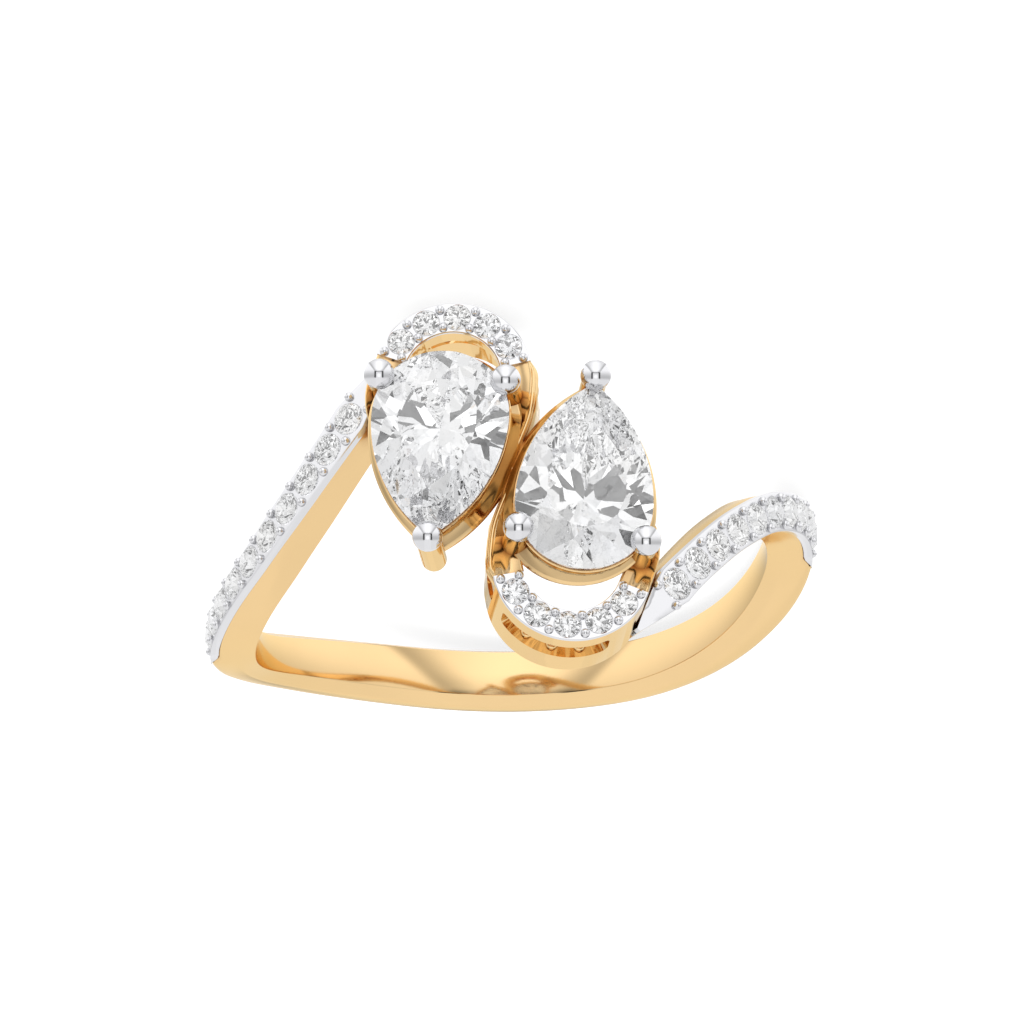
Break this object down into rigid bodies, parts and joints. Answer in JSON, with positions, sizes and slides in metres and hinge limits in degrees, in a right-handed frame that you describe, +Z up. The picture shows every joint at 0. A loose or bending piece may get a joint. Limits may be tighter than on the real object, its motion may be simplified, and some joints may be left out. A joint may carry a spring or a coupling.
{
  "type": "toi et moi ring",
  "caption": "Bypass finger ring with a pair of pear-cut main stones set tip to tail, each in a pierced halo collar, and small round stones along both arms.",
  "frame": {"origin": "centre of the finger hole, on its axis, midway along its wall", "axes": "the ring lies on its far side on a table: +Z is up from the table, +Y points from the finger hole towards the main stones, +X is the right-hand side of the picture"},
  "size_m": [0.0204, 0.0242, 0.0118],
  "materials": {
    "gold": "polished",
    "diamond": "polished"
  },
  "bodies": {
    "root": {"ring_metal": "gold", "pear_left": "diamond", "pear_right": "diamond", "halo_left_1": "diamond", "halo_left_2": "diamond", "halo_left_3": "diamond", "halo_left_4": "diamond", "halo_left_5": "diamond", "halo_right_1": "diamond", "halo_right_2": "diamond", "halo_right_3": "diamond", "halo_right_4": "diamond", "halo_right_5": "diamond", "arm_left_1": "diamond", "arm_left_2": "diamond", "arm_left_3": "diamond", "arm_left_4": "diamond", "arm_left_5": "diamond", "arm_left_6": "diamond", "arm_left_7": "diamond", "arm_left_8": "diamond", "arm_left_9": "diamond", "arm_left_10": "diamond", "arm_right_1": "diamond", "arm_right_2": "diamond", "arm_right_3": "diamond", "arm_right_4": "diamond", "arm_right_5": "diamond", "arm_right_6": "diamond", "arm_right_7": "diamond", "arm_right_8": "diamond", "arm_right_9": "diamond", "arm_right_10": "diamond"}
  },
  "joints": []
}
